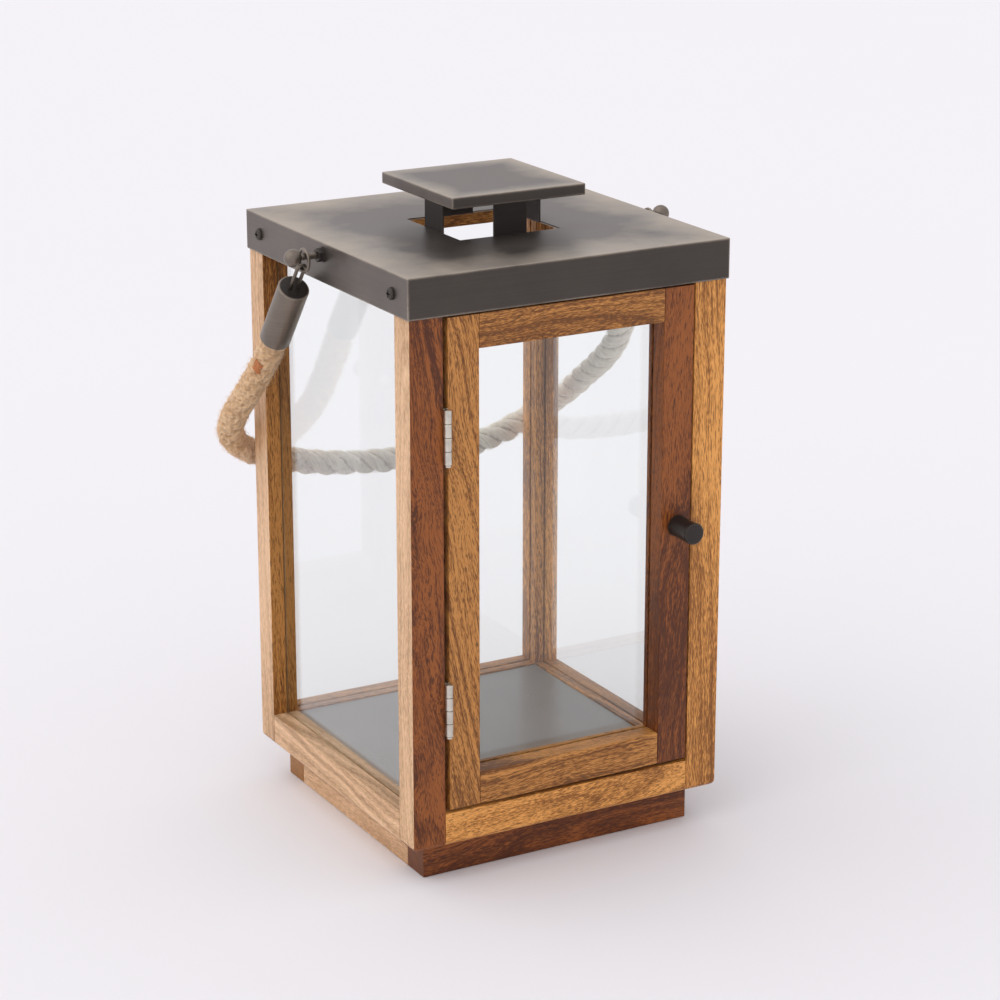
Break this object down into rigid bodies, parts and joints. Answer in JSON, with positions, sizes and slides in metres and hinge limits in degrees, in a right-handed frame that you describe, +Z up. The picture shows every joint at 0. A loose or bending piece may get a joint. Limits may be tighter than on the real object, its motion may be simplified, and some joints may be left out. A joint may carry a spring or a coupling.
{
  "type": "hanging lantern",
  "caption": "Square wood-framed candle lantern with glazed sides, a hinged glazed front door, a vented metal cap with a raised square finial plate, and a swinging rope handle with metal ends.",
  "frame": {"origin": "middle of the plinth's underside, on the surface that the lantern stands on", "axes": "+Z up, the door faces -Y, its hinges are on the -X side, and the rope handle hangs at the back, on the +Y side"},
  "size_m": [0.2597, 0.25, 0.392],
  "materials": {
    "dark_wood": "oiled, open pored",
    "brown_wood": "oiled, open pored",
    "pale_wood": "oiled, open pored",
    "glass": "clear float glass",
    "floor_metal": "satin grey paint",
    "cap_metal": "rubbed dark bronze lacquer",
    "dark_metal": "near black bronze lacquer",
    "bronze_metal": "antique bronze plating",
    "zinc_metal": "zinc plated",
    "rope": "twisted jute, fuzzy"
  },
  "bodies": {
    "lantern": {"plinth_front": "dark_wood", "plinth_back": "brown_wood", "plinth_left": "pale_wood", "plinth_right": "pale_wood", "plinth_screws": "zinc_metal", "floor_board": "pale_wood", "floor_plate": "floor_metal", "post_front_left": "dark_wood", "post_front_right": "brown_wood", "post_back_left": "pale_wood", "post_back_right": "brown_wood", "rail_bottom_front": "brown_wood", "rail_bottom_back": "brown_wood", "rail_bottom_left": "pale_wood", "rail_bottom_right": "brown_wood", "rail_top_front": "brown_wood", "rail_top_back": "brown_wood", "rail_top_left": "brown_wood", "rail_top_right": "brown_wood", "frame_dowels": "pale_wood", "top_rail_screws": "zinc_metal", "glass_left": "glass", "glass_right": "glass", "glass_back": "glass", "cap": "cap_metal", "cap_screws": "dark_metal", "finial_straps": "dark_metal", "finial_plate": "cap_metal", "stud_left": "bronze_metal", "stud_right": "bronze_metal", "stud_nut_left": "dark_metal", "stud_nut_right": "dark_metal", "hinge_post_leaf_top": "zinc_metal", "hinge_post_leaf_bottom": "zinc_metal", "hinge_post_screws": "zinc_metal", "hinge_pin_top": "zinc_metal", "hinge_pin_bottom": "zinc_metal", "catch_magnet": "dark_metal"},
    "door": {"door_stile_left": "brown_wood", "door_stile_right": "dark_wood", "door_rail_top": "brown_wood", "door_rail_bottom": "brown_wood", "door_dowels": "pale_wood", "door_glass": "glass", "hinge_door_leaf_top": "zinc_metal", "hinge_door_leaf_bottom": "zinc_metal", "hinge_door_screws": "zinc_metal", "knob": "dark_metal", "knob_screw": "zinc_metal", "catch_plate": "zinc_metal"},
    "handle": {"ring_left": "bronze_metal", "ring_right": "bronze_metal", "cap_eye_left": "bronze_metal", "cap_eye_right": "bronze_metal", "end_cap_left": "bronze_metal", "end_cap_right": "bronze_metal", "handle_rope": "rope"}
  },
  "joints": [
    {"name": "door_hinge", "type": "hinge", "parent": "lantern", "child": "door", "pos_m": [-0.0813, -0.1062, 0.1905], "axis": [0, 0, -1], "range_deg": [0, 170]},
    {"name": "handle_swing", "type": "hinge", "parent": "lantern", "child": "handle", "pos_m": [0, 0, 0.3575], "axis": [1, 0, 0], "range_deg": [0, 230]}
  ]
}
